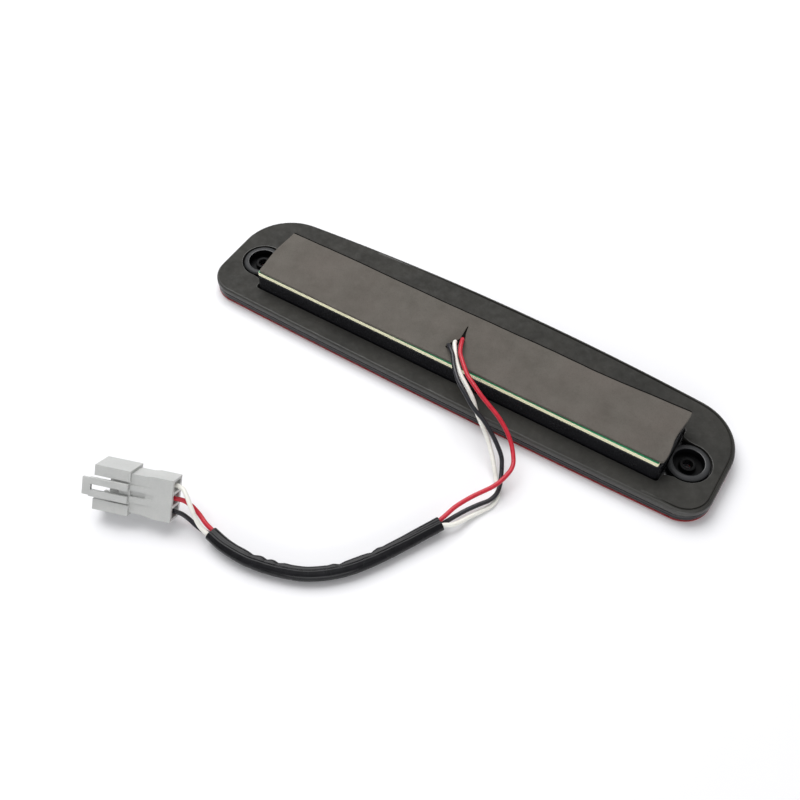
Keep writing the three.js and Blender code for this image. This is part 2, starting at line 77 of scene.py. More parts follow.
SLEEVE_ROUTE = [
    (30.2, -70.4, 3.5), (27.1, -76.2, 3.1), (24.0, -82.2, 2.85), (17.7, -93.6, 2.75),
    (11.8, -101.8, 2.7), (3.2, -109.0, 2.7), (-6.0, -112.9, 2.75), (-16.3, -115.3, 3.1),
    (-21.8, -115.6, 3.3), (-27.2, -115.4, 3.6), (-32.6, -114.4, 3.9),
]
WIRES = {
    "red": {
        "bundle_angle": 37,
        "from_board": [
            (0.9, -5.6, 15.3), (1.1, -6.1, 16.6), (1.7, -7.6, 17.6), (2.6, -10.0, 18.1),
            (4.2, -13.3, 18.2), (6.4, -15.8, 18.2), (8.8, -18.2, 18.1), (11.3, -20.4, 17.8),
            (14.5, -22.3, 17.4), (19.7, -24.9, 16.3), (23.6, -26.2, 15.0), (27.5, -27.4, 13.5),
            (31.2, -29.0, 11.8), (34.1, -30.7, 10.2), (36.6, -32.8, 8.8), (38.9, -35.6, 7.6),
            (40.3, -38.0, 6.9), (40.8, -40.2, 6.5), (40.6, -42.7, 6.2), (39.9, -46.2, 6.0),
            (38.5, -49.7, 5.7), (34.6, -56.0, 5.1), (31.5, -62.3, 4.5),
        ],
        "to_connector": [
            (-36.0, -112.8, 5.4), (-39.6, -111.5, 6.2), (-43.0, -110.9, 7.7), (-46.0, -111.2, 9.0),
            (-48.4, -112.1, 9.4), (-50.0, -112.6, 9.4),
        ],
    },
    "white": {
        "bundle_angle": 157,
        "from_board": [
            (-0.9, -7.8, 15.3), (-0.7, -8.4, 16.4), (-0.1, -9.9, 17.1), (1.3, -12.1, 17.3),
            (3.4, -15.2, 17.3), (6.1, -18.3, 17.2), (9.1, -21.1, 16.8), (14.0, -24.1, 15.2),
            (17.4, -26.2, 13.2), (19.8, -28.2, 11.0), (23.7, -31.0, 9.2), (27.8, -34.0, 7.4),
            (31.3, -37.2, 5.4), (34.5, -40.7, 3.4), (37.2, -43.9, 1.8), (39.5, -46.7, 1.1),
            (40.9, -49.7, 1.0), (40.9, -53.1, 1.0), (39.2, -57.0, 1.1), (37.2, -61.0, 1.6),
            (35.4, -65.3, 2.5), (33.6, -68.6, 3.3),
        ],
        "to_connector": [
            (-36.3, -115.1, 5.9), (-39.0, -114.0, 8.2), (-41.5, -112.5, 10.6), (-44.3, -110.7, 12.4),
            (-46.8, -109.4, 13.1), (-49.4, -109.3, 13.0), (-51.0, -109.8, 13.0),
        ],
    },
    "black": {
        "bundle_angle": 277,
        "from_board": [
            (-2.2, -10.6, 15.3), (-1.9, -11.2, 16.7), (-0.9, -12.6, 18.1), (2.3, -15.7, 18.8),
            (4.7, -19.1, 18.9), (7.6, -22.5, 18.7), (10.8, -25.4, 18.2), (15.3, -28.1, 16.9),
            (19.2, -30.1, 15.2), (24.5, -31.6, 13.0), (28.7, -33.4, 10.8), (32.2, -35.3, 8.7),
            (35.5, -37.7, 6.4), (37.3, -40.5, 4.8), (38.8, -43.7, 3.5), (40.0, -46.8, 3.0),
            (40.4, -50.0, 2.9), (39.6, -53.3, 2.9), (37.6, -56.3, 2.9), (35.1, -60.3, 2.8),
            (33.0, -64.2, 2.6),
        ],
        "to_connector": [
            (-36.4, -114.5, 2.7), (-39.5, -114.3, 3.0), (-42.5, -114.0, 4.0), (-45.2, -114.2, 5.3),
            (-47.5, -114.9, 5.8), (-49.1, -115.4, 5.8),
        ],
    },
}

CONNECTOR_ORIGIN = (-48.4, -112.1, 9.4)
CONNECTOR_HEADING = math.radians(-161.5)
CONNECTOR_ROLL = math.radians(-50.6)
PIN_PITCH = 4.7
UP = Vector((0, 0, 1))


# ---- camera ----
def make_camera():
    azimuth = math.radians(32)
    elevation = math.radians(53.42)
    distance = 379.4
    target = Vector((-10.2, -31.36, 0)) * MM
    back = Vector((
        math.sin(azimuth) * math.cos(elevation),
        -math.cos(azimuth) * math.cos(elevation),
        math.sin(elevation),
    ))
    data = bpy.data.cameras.new("camera")
    data.lens = 45.98
    data.sensor_width = 36
    data.clip_start = 0.005
    camera = bpy.data.objects.new("camera", data)
    camera.location = target + back * distance * MM
    camera.rotation_euler = (-back).to_track_quat("-Z", "Y").to_euler()
    bpy.context.collection.objects.link(camera)
    bpy.context.scene.camera = camera


# ---- procedural materials ----
def set_stops(ramp, stops):
    """Gives a colour ramp its (position, colour) stops."""
    elements = ramp.color_ramp.elements
    while len(elements) < len(stops):
        elements.new(0.5)
    for element, (position, colour) in zip(elements, stops):
        element.position = position
        element.color = (*colour, 1)


class Look:
    """A Principled material whose colour, roughness and bump come from noise in object space, in metres."""

    def __init__(self, name, roughness=0.5, metallic=0.0, ior=1.5):
        self.material = bpy.data.materials.new(name)
        self.material.use_nodes = True
        self.tree = self.material.node_tree
        self.shader = self.tree.nodes["Principled BSDF"]
        self.shader.inputs["Roughness"].default_value = roughness
        self.shader.inputs["Metallic"].default_value = metallic
        self.shader.inputs["IOR"].default_value = ior
        self.coordinates = self.tree.nodes.new("ShaderNodeTexCoord").outputs["Object"]
        self.normal = None

    def node(self, kind, **inputs):
        made = self.tree.nodes.new(kind)
        for label, value in inputs.items():
            socket = made.inputs[label]
            if isinstance(value, bpy.types.NodeSocket):
                self.tree.links.new(value, socket)
            else:
                socket.default_value = value
        return made

    def stretched(self, x, y, z):
        mapping = self.node("ShaderNodeMapping", Vector=self.coordinates)
        mapping.inputs["Scale"].default_value = (x, y, z)
        return mapping.outputs["Vector"]

    def noise(self, size_mm, detail, rough, vector=None):
        made = self.node(
            "ShaderNodeTexNoise", Vector=vector or self.coordinates,
            Scale=1 / (size_mm * MM), Detail=detail, Roughness=rough,
        )
        return made.outputs["Fac"]

    def cells(self, size_mm):
        made = self.node("ShaderNodeTexVoronoi", Vector=self.coordinates, Scale=1 / (size_mm * MM))
        return made.outputs["Distance"]

    def ramp(self, factor, *stops):
        made = self.node("ShaderNodeValToRGB", Fac=factor)
        set_stops(made, stops)
        return made.outputs["Color"]

    def cloudy_colour(self, size_mm, detail, rough, dark, light):
        """Base colour that drifts between two tones."""
        self.colour(self.ramp(self.noise(size_mm, detail, rough), (0.3, dark), (0.7, light)))

    def patchy_gloss(self, size_mm, detail, rough, low, high):
        """Roughness that varies between two values."""
        self.roughness(self.spread(self.noise(size_mm, detail, rough), low, high))

    def specular(self, level):
        self.shader.inputs["Specular IOR Level"].default_value = level

    def blend_colour(self, factor, first, second, kind="MIX"):
        made = self.tree.nodes.new("ShaderNodeMix")
        made.data_type = "RGBA"
        made.blend_type = kind
        sockets = [s for s in made.inputs if s.enabled]
        for socket, value in zip(sockets, (factor, first, second)):
            if isinstance(value, bpy.types.NodeSocket):
                self.tree.links.new(value, socket)
            else:
                socket.default_value = value if isinstance(value, float) else (*value, 1)
        return next(s for s in made.outputs if s.enabled)

    def spread(self, factor, low, high, start=0.3, end=0.7):
        made = self.node("ShaderNodeMapRange", Value=factor)
        made.inputs["From Min"].default_value = start
        made.inputs["From Max"].default_value = end
        made.inputs["To Min"].default_value = low
        made.inputs["To Max"].default_value = high
        return made.outputs["Result"]

    def colour(self, socket):
        self.tree.links.new(socket, self.shader.inputs["Base Color"])

    def roughness(self, socket):
        self.tree.links.new(socket, self.shader.inputs["Roughness"])

    def bump(self, height, depth_mm, strength=1.0):
        made = self.node("ShaderNodeBump", Height=height, Distance=depth_mm * MM, Strength=strength)
        if self.normal is not None:
            self.tree.links.new(self.normal, made.inputs["Normal"])
        self.normal = made.outputs["Normal"]
        self.tree.links.new(self.normal, self.shader.inputs["Normal"])


def moulded_plastic(name, dark, light, roughness, smudge, grain_mm, grain_depth):
    """Shared look of the moulded pieces: patchy gloss, cloudy colour and a fine moulded grain."""
    look = Look(name, roughness)
    cloud = look.noise(9, 4, 0.6)
    fine = look.noise(0.7, 3, 0.6)
    mixed = look.blend_colour(0.35, cloud, fine)
    look.colour(look.ramp(mixed, (0.3, dark), (0.7, light)))
    look.patchy_gloss(5, 5, 0.7, roughness - smudge, roughness + smudge)
    look.bump(look.noise(grain_mm, 2, 0.5), grain_depth)
    return look


def gasket_rubber(name, smooth, rough, specular):
    look = Look(name, rough)
    cloud = look.noise(14, 5, 0.62)
    base = look.ramp(cloud, (0.28, (0.024, 0.0235, 0.021)), (0.72, (0.040, 0.0385, 0.034)))
    dust = look.spread(look.noise(1.1, 4, 0.7), 0.0, 0.35, 0.55, 0.85)
    look.colour(look.blend_colour(dust, base, (0.080, 0.076, 0.068)))
    look.patchy_gloss(3, 4, 0.6, smooth, rough)
    look.bump(look.noise(0.32, 3, 0.6), 0.03)
    look.bump(look.noise(6, 3, 0.5), 0.12, 0.6)
    look.specular(specular)
    return look.material


def foam_skin():
    look = Look("foam_skin", 0.9)
    cloud = look.noise(11, 5, 0.65)
    base = look.ramp(cloud, (0.3, (0.098, 0.090, 0.078)), (0.7, (0.142, 0.132, 0.117)))
    warm = look.spread(look.noise(24, 3, 0.6), 0.0, 0.5)
    base = look.blend_colour(warm, base, (0.128, 0.108, 0.096))
    pores = look.cells(0.42)
    # The pits of the pore bump are darkened: painted shade in the pores.
    pore_shade = look.ramp(pores, (0.05, (0.5, 0.5, 0.5)), (0.32, (1, 1, 1)))
    look.colour(look.blend_colour(0.75, base, pore_shade, "MULTIPLY"))
    look.bump(pores, 0.07, 0.7)
    look.bump(look.noise(1.6, 4, 0.6), 0.08, 0.6)
    look.specular(0.25)
    return look.material


# Near-black foam: the cut core's darker tone with painted shade in the slit, and a painted shadow line along
# the far edge.
def foam_cut_and_shade():
    look = Look("foam_cut_and_shade", 0.95)
    look.cloudy_colour(0.6, 4, 0.6, (0.004, 0.004, 0.0035), (0.010, 0.0095, 0.008))
    look.bump(look.cells(0.3), 0.06)
    look.specular(0.1)
    return look.material


def housing_plastic():
    dark, light = (0.0085, 0.0087, 0.0105), (0.0130, 0.0133, 0.0155)
    return moulded_plastic("housing_plastic", dark, light, 0.22, 0.07, 1.6, 0.004).material


def boss_rim_plastic():
    """The bosses' rims, dulled by the panel that they were pressed against."""
    dark, light = (0.024, 0.0245, 0.026), (0.034, 0.035, 0.037)
    look = moulded_plastic("boss_rim_plastic", dark, light, 0.6, 0.1, 0.8, 0.006)
    look.specular(0.35)
    return look.material


def boss_bore_shaded_plastic():
    """The bosses' bores: a dull moulded surface, coloured darker than the housing as painted shade deep in
    the bore.
    """
    dark, light = (0.0018, 0.0018, 0.0022), (0.0034, 0.0034, 0.0040)
    look = moulded_plastic("boss_bore_shaded_plastic", dark, light, 0.5, 0.1, 0.8, 0.006)
    look.specular(0.1)
    return look.material


def lens_plastic():
    look = Look("lens_plastic", 0.06, ior=1.58)
    look.shader.inputs["Transmission Weight"].default_value = 0.7
    look.cloudy_colour(20, 2, 0.5, (0.66, 0.006, 0.010), (0.76, 0.010, 0.016))
    look.patchy_gloss(4, 4, 0.6, 0.03, 0.10)
    look.bump(look.noise(0.8, 2, 0.5), 0.002)
    return look.material


def chrome_coating():
    look = Look("chrome_coating", 0.12, metallic=1.0)
    look.cloudy_colour(6, 3, 0.5, (0.72, 0.73, 0.74), (0.86, 0.87, 0.88))
    look.patchy_gloss(2, 4, 0.6, 0.06, 0.2)
    look.bump(look.noise(0.6, 2, 0.5), 0.004)
    return look.material


def solder_mask():
    dark, light = (0.006, 0.17, 0.062), (0.012, 0.26, 0.10)
    return moulded_plastic("solder_mask", dark, light, 0.35, 0.1, 0.2, 0.01).material


def laminate_edge():
    look = Look("laminate_edge", 0.6)
    layers = look.stretched(0.15, 0.15, 1.0)
    fibres = look.noise(0.12, 4, 0.7, layers)
    look.colour(look.ramp(fibres, (0.25, (0.90, 0.86, 0.54)), (0.6, (0.99, 0.96, 0.70))))
    look.bump(look.noise(0.15, 3, 0.6), 0.03)
    return look.material


def led_epoxy():
    look = Look("led_epoxy", 0.08, ior=1.55)
    look.shader.inputs["Transmission Weight"].default_value = 0.55
    look.cloudy_colour(3, 2, 0.5, (0.85, 0.80, 0.72), (0.95, 0.93, 0.88))
    look.bump(look.noise(0.5, 2, 0.5), 0.002)
    return look.material


def chip_resin():
    dark, light = (0.012, 0.012, 0.013), (0.03, 0.03, 0.032)
    return moulded_plastic("chip_resin", dark, light, 0.5, 0.1, 0.1, 0.01).material


def wire_insulation(name, dark, light):
    look = Look(name)
    look.cloudy_colour(2.2, 4, 0.6, dark, light)
    look.patchy_gloss(1.2, 3, 0.6, 0.25, 0.45)
    look.bump(look.noise(0.5, 3, 0.55), 0.012)
    return look.material


def sleeve_pvc():
    look = Look("sleeve_pvc", 0.24)
    look.cloudy_colour(3, 4, 0.6, (0.006, 0.006, 0.007), (0.012, 0.012, 0.014))
    look.patchy_gloss(3.5, 4, 0.6, 0.16, 0.3)
    look.bump(look.noise(4.5, 3, 0.5), 0.05, 0.5)
    look.specular(0.24)
    return look.material


def grey_nylon():
    dark, light = (0.50, 0.51, 0.50), (0.58, 0.585, 0.57)
    look = moulded_plastic("grey_nylon", dark, light, 0.46, 0.08, 0.35, 0.012)
    look.shader.inputs["Subsurface Weight"].default_value = 0.08
    look.shader.inputs["Subsurface Radius"].default_value = (0.6, 0.6, 0.55)
    look.shader.inputs["Subsurface Scale"].default_value = 0.001
    return look.material


def tinned_metal():
    look = Look("tinned_metal", 0.32, metallic=1.0)
    look.cloudy_colour(0.8, 4, 0.6, (0.46, 0.44, 0.40), (0.74, 0.72, 0.67))
    look.patchy_gloss(0.5, 3, 0.6, 0.22, 0.5)
    look.bump(look.noise(0.25, 3, 0.6), 0.02)
    return look.material


def studio_floor():
    look = Look("studio_floor", 0.7)
    look.cloudy_colour(60, 2, 0.5, (0.935, 0.935, 0.955), (0.95, 0.95, 0.97))
    return look.material


# ---- mesh helpers, in millimetres ----
def add_mesh(name, mesh_data, material, body, *replaced, slot, sharp_degrees=38):
    """Makes a piece of a bmesh that is in millimetres, sets it riding and hides the CAD parts that it
    replaces.
    """
    mesh = bpy.data.meshes.new(name)
    bmesh.ops.scale(mesh_data, vec=(MM, MM, MM), verts=mesh_data.verts)
    mesh_data.to_mesh(mesh)
    mesh_data.free()
    mesh.shade_smooth()
    mesh.set_sharp_from_angle(angle=math.radians(sharp_degrees))
    for each in material if isinstance(material, (list, tuple)) else [material]:
        mesh.materials.append(each)
    piece = bpy.data.objects.new(name, mesh)
    bpy.context.collection.objects.link(piece)
    even = piece.modifiers.new("even_normals", "WEIGHTED_NORMAL")
    even.keep_sharp = True
    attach(piece, body)
    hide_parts(*replaced)
    return piece


def progress(value, start, end):
    """How far a value has come from start to end, held between 0 and 1."""
    return min(max((value - start) / (end - start), 0), 1)


def neighbours(loop):
    return zip(loop, [*loop[1:], loop[0]])


def bridge(mesh_data, rings):
    """Faces between each ring of points and the next."""
    for first, second in zip(rings, rings[1:]):
        for (a, b), (c, d) in zip(neighbours(first), neighbours(second)):
            mesh_data.faces.new((a, b, d, c))


def fill_grid(mesh_data, grid):
    """Faces between the rows of a grid of points."""
    for row, next_row in zip(grid, grid[1:]):
        for corners in zip(row, row[1:], next_row[1:], next_row):
            mesh_data.faces.new(corners)


def border(grid):
    """The outermost points of a grid, once round."""
    sides = [row[-1] for row in grid[1:]], [row[0] for row in reversed(grid[1:-1])]
    return [*grid[0], *sides[0], *reversed(grid[-1][:-1]), *sides[1]]


def grow(loop, distance):
    """The flat counter-clockwise loop moved outwards by a distance, with mitred corners."""
    grown = []
    for before, here, after in zip([loop[-1], *loop[:-1]], loop, [*loop[1:], loop[0]]):
        arriving = (here - before).normalized()
        leaving = (after - here).normalized()
        first = Vector((arriving.y, -arriving.x))
        second = Vector((leaving.y, -leaving.x))
        grown.append(here + (first + second) * (distance / (1 + first.dot(second))))
    return grown


def level(loop, height):
    """The flat loop's points at one height."""
    return [(*point, height) for point in loop]


def stack(loop, profile):
    """Loops of the outline at each (growth, height) of the profile."""
    return [level(grow(loop, growth), height) for growth, height in profile]


def plate(rim, openings, recess=None):
    """A closed plate. The rim and every opening are stacks of loops, from the top face to the bottom face.
    A recess is such a stack too, with the grid of points that closes it."""
    mesh_data = bmesh.new()
    tops = []
    bottoms = []
    for loops in [rim, *openings, *([recess[0]] if recess else [])]:
        rings = [[mesh_data.verts.new(point) for point in loop] for loop in loops]
        bridge(mesh_data, rings)
        tops.append(rings[0])
        bottoms.append(rings[-1])
    if recess:
        bottoms.pop()
        fill_grid(mesh_data, [[mesh_data.verts.new(point) for point in row] for row in recess[1]])
    for side in (tops, bottoms):
        edges = [mesh_data.edges.get(pair) for ring in side for pair in neighbours(ring)]
        bmesh.ops.triangle_fill(mesh_data, edges=edges, use_beauty=True)
    if recess:
        bmesh.ops.remove_doubles(mesh_data, verts=mesh_data.verts, dist=0.0005)
    bmesh.ops.recalc_face_normals(mesh_data, faces=mesh_data.faces)
    return mesh_data


def prism(outline, low, high):
    """A solid with the same flat outline from its bottom to its top."""
    return plate([level(outline, high), level(outline, low)], [])


def arc(centre, radius, start, end, count):
    """Points on an arc, the last one left out; angles in degrees."""
    angles = [math.radians(start + (end - start) * step / count) for step in range(count)]
    return [Vector((centre[0] + radius * math.cos(a), centre[1] + radius * math.sin(a))) for a in angles]


def line(start, end, count):
    return [Vector(start).lerp(Vector(end), step / count) for step in range(count)]


def circle(centre, radius, count=40):
    return arc(centre, radius, 0, 360, count)


def rounded_rectangle(centre, half, radius, per_corner=6, per_side=24):
    corners = ((1, -1, -90), (1, 1, 0), (-1, 1, 90), (-1, -1, 180))
    inner = []
    for sx, sy, turn in corners:
        inner.append((centre[0] + sx * (half[0] - radius), centre[1] + sy * (half[1] - radius), turn))
    loop = []
    for (x, y, turn), (next_x, next_y, next_turn) in neighbours(inner):
        loop += arc((x, y), radius, turn, turn + 90, per_corner)
        leave = arc((x, y), radius, turn + 90, 0, 1)[0]
        reach = arc((next_x, next_y), radius, next_turn, 0, 1)[0]
        loop += line(leave, reach, per_side if abs(next_x - x) > abs(next_y - y) else per_corner)
    return loop


def lamp_outline():
    near_centre = (HALF_LENGTH - NEAR_CORNER_R, NEAR_Y + NEAR_BOW + NEAR_CORNER_R)
    far_centre = (HALF_LENGTH - FAR_CORNER_R, FAR_CORNER_Y)
    lean = 90 - math.degrees(FAR_CORNER_LEAN)
    start = arc(far_centre, FAR_CORNER_R, lean, 0, 1)[0]
    control = 2 * FAR_Y - start.y
    right = arc(near_centre, NEAR_CORNER_R, -90, 0, 14)
    right += line((HALF_LENGTH, near_centre[1]), (HALF_LENGTH, FAR_CORNER_Y), 8)
    right += arc(far_centre, FAR_CORNER_R, 0, lean, 24)
    crown = []
    for step in range(60):
        t = step / 60
        height = (1 - t) ** 2 * start.y + 2 * t * (1 - t) * control + t * t * start.y
        crown.append(Vector((start.x * (1 - 2 * t), height)))
    left = [Vector((-x, y)) for x, y in reversed(right[1:])]
    near = []
    for step in range(48):
        across = 2 * step / 48 - 1
        near.append(Vector((near_centre[0] * across, NEAR_Y + NEAR_BOW * across**2)))
    return [*near, *right, *crown, Vector((-start.x, start.y)), *left]


LAMP_OUTLINE = lamp_outline()


def on_lamp(profile):
    """The lamp's outline at each (inset, height)."""
    return stack(LAMP_OUTLINE, [(-inset, height) for inset, height in profile])


def led_x(index):
    return (index - (LED_COUNT - 1) / 2) * LED_PITCH


# ---- cords ----
def smooth_route(points, per_span=8):
    """The centripetal Catmull-Rom curve through the points, which the CAD solids follow too."""
    points = [Vector(point) for point in points]
    guides = [2 * points[0] - points[1], *points, 2 * points[-1] - points[-2]]
    route = []
    for before, start, end, after in zip(guides, guides[1:], guides[2:], guides[3:]):
        first, middle, last = (span.length ** 0.5 for span in (start - before, end - start, after - end))
        leaving = middle * (
            (start - before) / first - (end - before) / (first + middle) + (end - start) / middle
        )
        arriving = middle * (
            (end - start) / middle - (after - start) / (middle + last) + (after - end) / last
        )
        for step in range(per_span):
            t = step / per_span
            route.append(
                (2 * t**3 - 3 * t**2 + 1) * start + (t**3 - 2 * t**2 + t) * leaving
                + (3 * t**2 - 2 * t**3) * end + (t**3 - t**2) * arriving
            )
    return [*route, points[-1]]


def inside_sleeve(angle_degrees):
    """Where one wire of the bundle runs in the sleeve: off its axis, at a fixed angle around it."""
    points = [Vector(point) for point in SLEEVE_ROUTE]
    angle = math.radians(angle_degrees)
    inner = []
    for index, point in enumerate(points):
        along = points[min(index + 1, len(points) - 1)] - points[max(index - 1, 0)]
        along.z = 0
        sideways = along.normalized().cross(UP)
        inner.append(point + BUNDLE_R * (math.cos(angle) * sideways + math.sin(angle) * UP))
    return inner


def make_wire(colour, material):
    wire = WIRES[colour]
    route = smooth_route([*wire["from_board"], *inside_sleeve(wire["bundle_angle"]), *wire["to_connector"]])
    curve = bpy.data.curves.new(f"wire_{colour}_insulation", "CURVE")
    curve.dimensions = "3D"
    curve.bevel_depth = WIRE_R * MM
    curve.bevel_resolution = 5
    curve.use_fill_caps = True
    spline = curve.splines.new("POLY")
    spline.points.add(len(route) - 1)
    for control, point in zip(spline.points, route):
        control.co = (*(point * MM), 1)
    curve.materials.append(material)
    piece = bpy.data.objects.new(f"wire_{colour}_insulation", curve)
    bpy.context.collection.objects.link(piece)
    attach(piece, LAMP)
    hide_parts(f"wire_{colour}")
    return piece, route


def sleeve_radius(along_mm, angle):
    """Outer radius of the thin sleeve, creased along its top and crinkled on the inside of its bend."""
    pushed_by_wires = 0.1 * math.cos(3 * (angle - math.radians(37)))
    lumps = 0.06 * noise.noise(Vector((along_mm * 0.2, 1.2 * math.cos(angle), 1.2 * math.sin(angle))))
    radius = SLEEVE_R + pushed_by_wires + lumps
    crease = math.radians(112 - 20 * math.sin(math.pi * along_mm / SLEEVE_LENGTH))
    away = math.atan2(math.sin(angle - crease), math.cos(angle - crease))
    ridge = 0.13 * math.exp(-((away / 0.16) ** 2))
    valley = 0.34 * math.exp(-(((away + 0.42) / 0.26) ** 2))
    radius += ridge - valley
    inner_side = max(0.0, math.cos(angle - math.radians(28))) ** 2
    for start, end in CRINKLED_SPANS:
        within = progress(along_mm, start, start + 3) * progress(along_mm, end, end - 3)
        scallop = abs(math.sin(math.pi * (along_mm + 2.4 * math.sin(along_mm / 3.3)) / 7))
        radius += within * inner_side * (0.6 * scallop - 0.38)
    return radius


def make_sleeve(material):
    wall = 0.35
    sides = 60
    route = smooth_route(SLEEVE_ROUTE, 16)
    mesh_data = bmesh.new()
    outer = []
    inner = []
    travelled = 0.0
    for index, point in enumerate(route):
        before = route[max(index - 1, 0)]
        after = route[min(index + 1, len(route) - 1)]
        travelled += (point - before).length
        along = (after - before).normalized()
        sideways = along.cross(UP).normalized()
        upward = sideways.cross(along)
        outer_ring = []
        inner_ring = []
        for side in range(sides):
            angle = 2 * math.pi * side / sides
            outward = math.cos(angle) * sideways + math.sin(angle) * upward
            radius = sleeve_radius(travelled, angle)
            outer_ring.append(mesh_data.verts.new(point + outward * radius))
            inner_ring.append(mesh_data.verts.new(point + outward * (radius - wall)))
        outer.append(outer_ring)
        inner.append(inner_ring)
    for rings in (outer, inner, (outer[0], inner[0]), (outer[-1], inner[-1])):
        bridge(mesh_data, rings)
    bmesh.ops.recalc_face_normals(mesh_data, faces=mesh_data.faces)
    piece = add_mesh("sleeve_skin", mesh_data, material, LAMP, "wire_sleeve", slot="sleeve_pvc")
    return piece, route


# ---- the lamp's layers ----
def make_lens(material):
    rim = on_lamp([
        (2.55, 2.6), (2.4, 2.5), (2.4, 1.02), (0.5, 1.0), (0.28, 0.93), (0.2, 0.75),
        (0.2, 0.5), (0.27, 0.25), (0.45, 0.08), (0.75, 0.0),
    ])
    pockets = []
    for x in (-BOSS_X, BOSS_X):
        pocket = circle((x, SPINE_Y), 5, 36)
        pockets.append(stack(pocket, [(0.1, 2.6), (0, 2.5), (0, 0.15), (0.15, 0.0)]))
    mesh_data = plate(rim, pockets, optic_recess())
    return add_mesh("lens_moulding", mesh_data, material, LAMP, "lens", slot="red_lens")


def optic_recess():
    """The recess behind the lens's window: its walls as loops, and its floor as a grid of pillow optics."""
    half_x, half_y = 82.5, 10
    floor, top = 1.6, 2.6
    pillow = 5
    crown_height = 0.3
    cell = pillow / 4
    columns = round(2 * half_x / cell)
    rows = round(2 * half_y / cell)
    grid = []
    for row in range(rows + 1):
        y = row * cell
        line_of_points = []
        for column in range(columns + 1):
            x = column * cell
            crown = (math.sin(math.pi * x / pillow) * math.sin(math.pi * y / pillow)) ** 2
            line_of_points.append((x - half_x, SPINE_Y + y - half_y, floor + crown_height * crown))
        grid.append(line_of_points)
    edge = [point[:2] for point in border(grid)]
    return [level(edge, top), level(edge, floor)], grid


def boss_loops():
    """Radius and height of each ring of a screw boss: up its side, down the bore and over the collar."""
    side = [(7.85, 3.6), (7.65, 3.7), (7.6, 4.0), (7.6, 6.0)]
    rim = [(7.5, 6.4), (7.2, 6.72), (6.8, 6.87), (6.4, 6.9), (5.85, 6.88), (5.62, 6.8)]
    bore = [(BORE_R, 6.55), (BORE_R, 3.7), (5.4, 3.6), (3.1, 3.6), (2.9, 3.8)]
    collar = [(2.9, 5.3), (2.8, 5.52), (2.6, 5.6), (2.0, 5.6), (1.78, 5.52), (1.7, 5.3), (1.7, 3.0)]
    screw_seat = [(4.7, 3.0), (4.7, 2.8)]
    return [*side, *rim, *bore, *collar, *screw_seat]


def boss_surface(face):
    """Material slot of a housing face: 1 on a boss's rim, 2 inside its bore, where the darker colour is
    painted shade, 0 elsewhere.
    """
    centre = face.calc_center_median()
    away = math.hypot(abs(centre.x) - BOSS_X, centre.y - SPINE_Y)
    if away < 7.8 and centre.z > 6.0 and away > 5.9:
        return 1
    return 2 if away < 5.6 and 2.9 < centre.z < 6.5 else 0


def boss_ring(side, radius, height):
    """A ring of the boss at one end, flattened on the side where the box's end wall stands."""
    reach_of_rim = 6.05
    nearest_x = BOSS_X - min(radius, reach_of_rim if radius > 5.6 else BORE_R)
    ring = circle((side * BOSS_X, SPINE_Y), radius)
    return [(side * max(abs(x), nearest_x), y, height) for x, y in ring]


def make_housing(gloss, rim_dulled, bore):
    rim = on_lamp([
        (0.6, 3.6), (0.35, 3.57), (0.2, 3.45), (0.15, 3.25), (0.15, 2.5), (0.27, 2.42), (0.27, 2.28),
        (0.17, 2.2), (0.2, 1.5), (0.3, 1.27), (0.5, 1.2), (2.0, 1.2), (2.1, 1.3), (2.1, 2.8),
    ])
    box = stack(rounded_rectangle((0, SPINE_Y), BOX_HALF, BOX_CORNER_R, 8, 40), [
        (0.35, 3.6), (0.1, 3.68), (0, 3.95), (0, 12.85), (-0.1, 13.12), (-0.35, 13.28), (-0.7, BOX_TOP),
        (-1.4, BOX_TOP), (-1.7, 13.26), (-1.82, 13.1), (-1.85, 2.8),
    ])
    bosses = [[boss_ring(side, *ring) for ring in boss_loops()] for side in (-1, 1)]
    mesh_data = plate(rim, [box, *bosses])
    for face in mesh_data.faces:
        face.material_index = boss_surface(face)
    # The third material darkens the bores as painted shade.
    materials = [gloss, rim_dulled, bore]
    return add_mesh("housing_moulding", mesh_data, materials, LAMP, "housing", slot="black_housing")


def gasket_opening():
    """Counter-clockwise opening around the box, with a keyhole around each screw boss."""
    gap = 0.5
    end_x = BOX_HALF[0] + gap
    side_y = BOX_HALF[1] + gap
    keyhole_r = 8.25
    keyhole_degrees = 104
    throat_x, throat_y = BOSS_X - 3.4, 8.4
    neck = 8.9
    soft = 1.2
    half = []
    half += line((0, -side_y), (end_x - soft, -side_y), 20)
    half += arc((end_x - soft, -side_y + soft), soft, -90, 0, 5)
    half += line((end_x, -side_y + soft), (end_x, -neck - soft), 2)
    half += [Vector((end_x + 0.35, -neck - 0.35))]
    half += line((end_x + soft, -neck), (throat_x, -throat_y), 3)
    half += arc((BOSS_X, 0), keyhole_r, -keyhole_degrees, keyhole_degrees, 30)
    half += line((throat_x, throat_y), (end_x + soft, neck), 3)
    half += [Vector((end_x + soft, neck)), Vector((end_x + 0.35, neck + 0.35))]
    half += line((end_x, neck + soft), (end_x, side_y - soft), 2)
    half += arc((end_x - soft, side_y - soft), soft, 0, 90, 5)
    half += line((end_x - soft, side_y), (0, side_y), 20)
    turned = [Vector((-x, -y)) for x, y in half]
    return [Vector((x, y + SPINE_Y)) for x, y in [*half, *turned]]


def groove_depth(x, y):
    """The groove behind the gasket's outer bead, along the far side and around the right end."""
    deepest = 0.5
    along_far_side = progress(x, -60, 0) if y > 0 else 0
    around_right_end = progress(x, 84, 94)
    return deepest * max(along_far_side, around_right_end)


